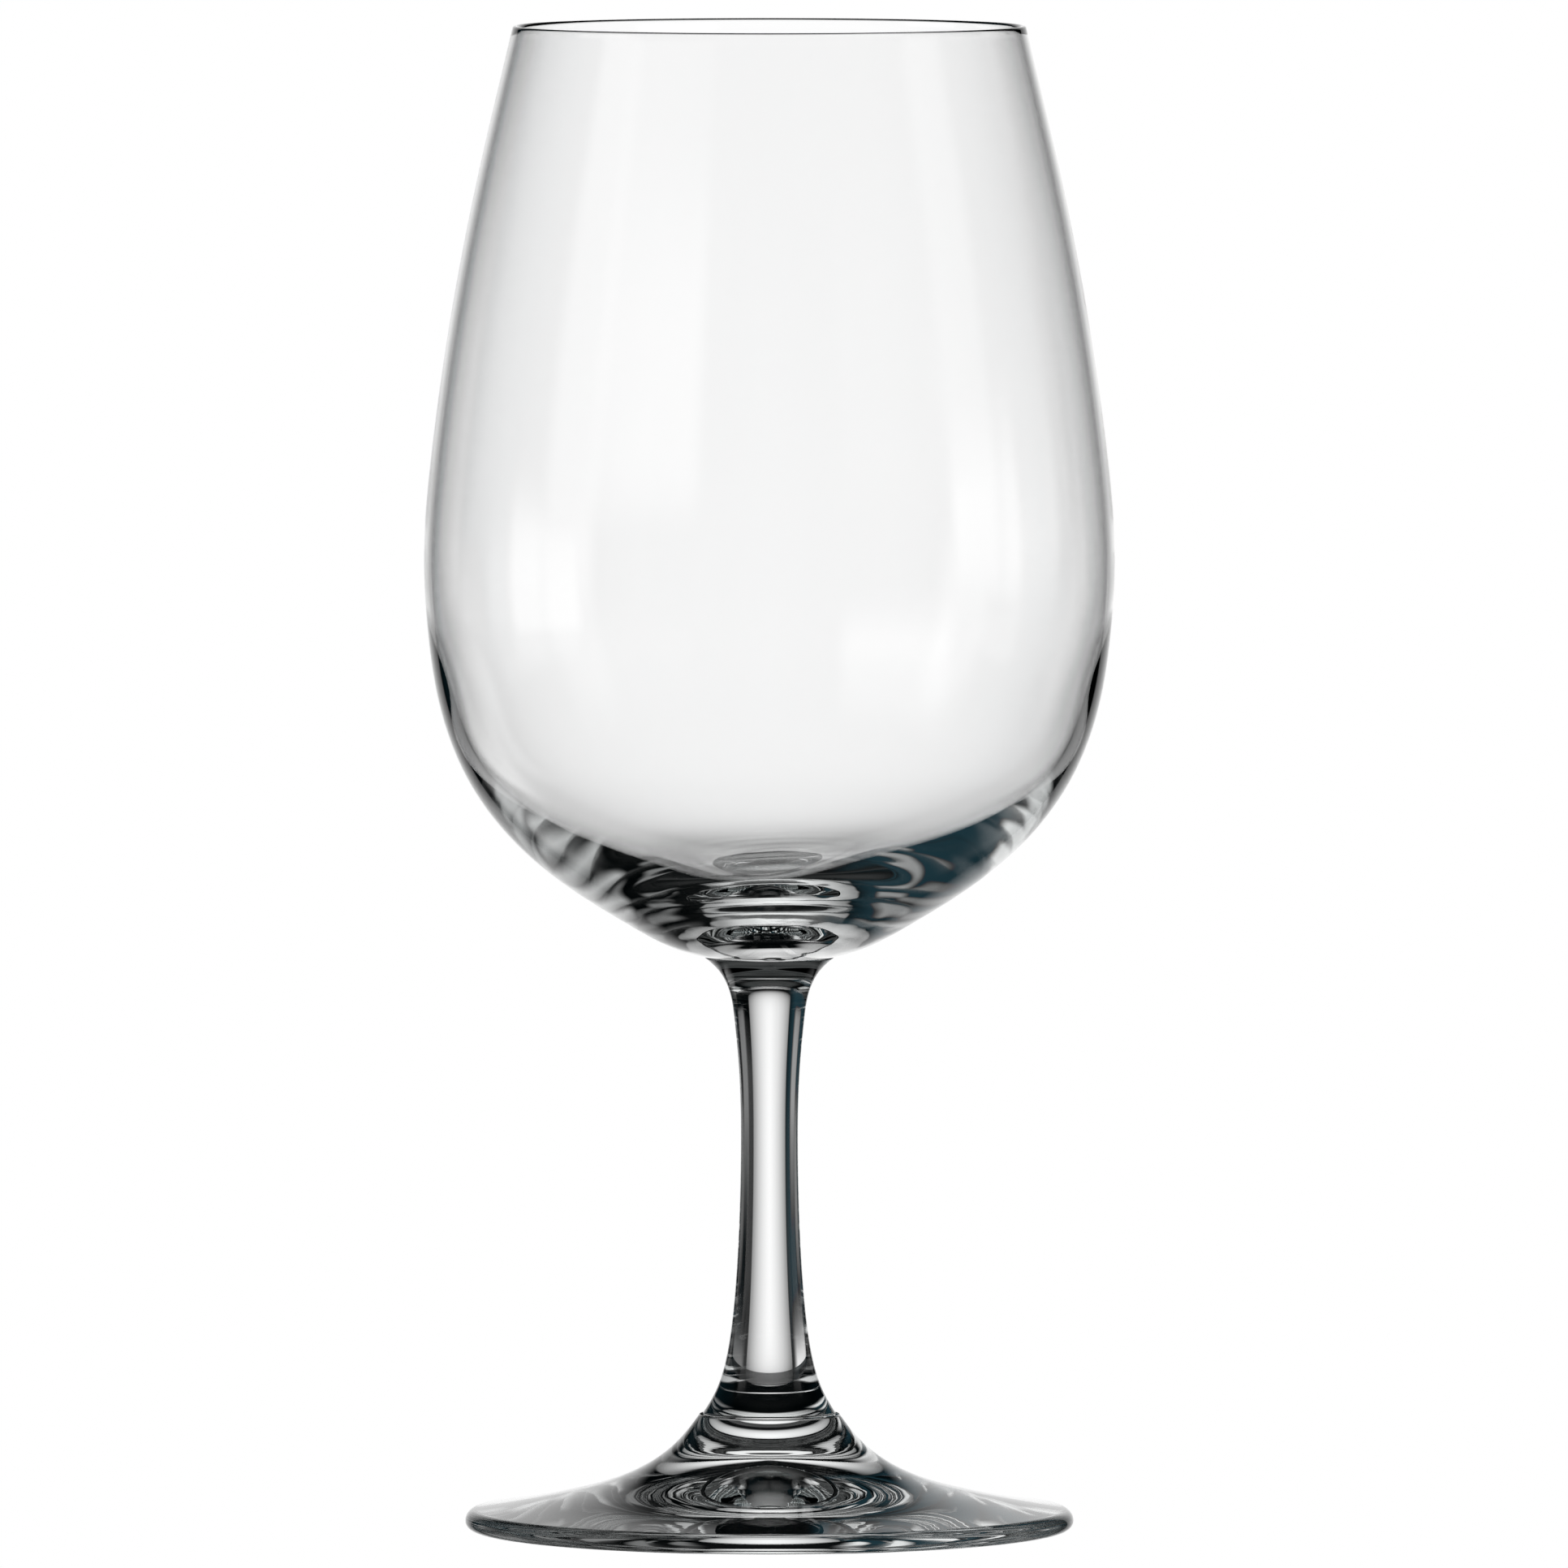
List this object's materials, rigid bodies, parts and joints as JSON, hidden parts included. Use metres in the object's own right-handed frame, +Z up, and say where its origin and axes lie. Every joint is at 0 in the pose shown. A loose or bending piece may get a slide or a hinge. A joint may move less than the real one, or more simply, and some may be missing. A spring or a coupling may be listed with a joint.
{
  "type": "wine glass",
  "caption": "Clear stemmed wine glass: an egg-shaped bowl that narrows to the rim, on a waisted solid stem and a round disc foot.",
  "frame": {"origin": "centre of the foot's standing plane, on the axis of the glass", "axes": "+Z up along the axis of the glass, from the foot to the rim; X and Y are equivalent"},
  "size_m": [0.085, 0.085, 0.185],
  "materials": {
    "clear_glass": "polished clear soda-lime glass, faintly cool grey-green where it is thick"
  },
  "bodies": {
    "root": {"bowl": "clear_glass", "stem": "clear_glass", "foot": "clear_glass"}
  },
  "joints": []
}
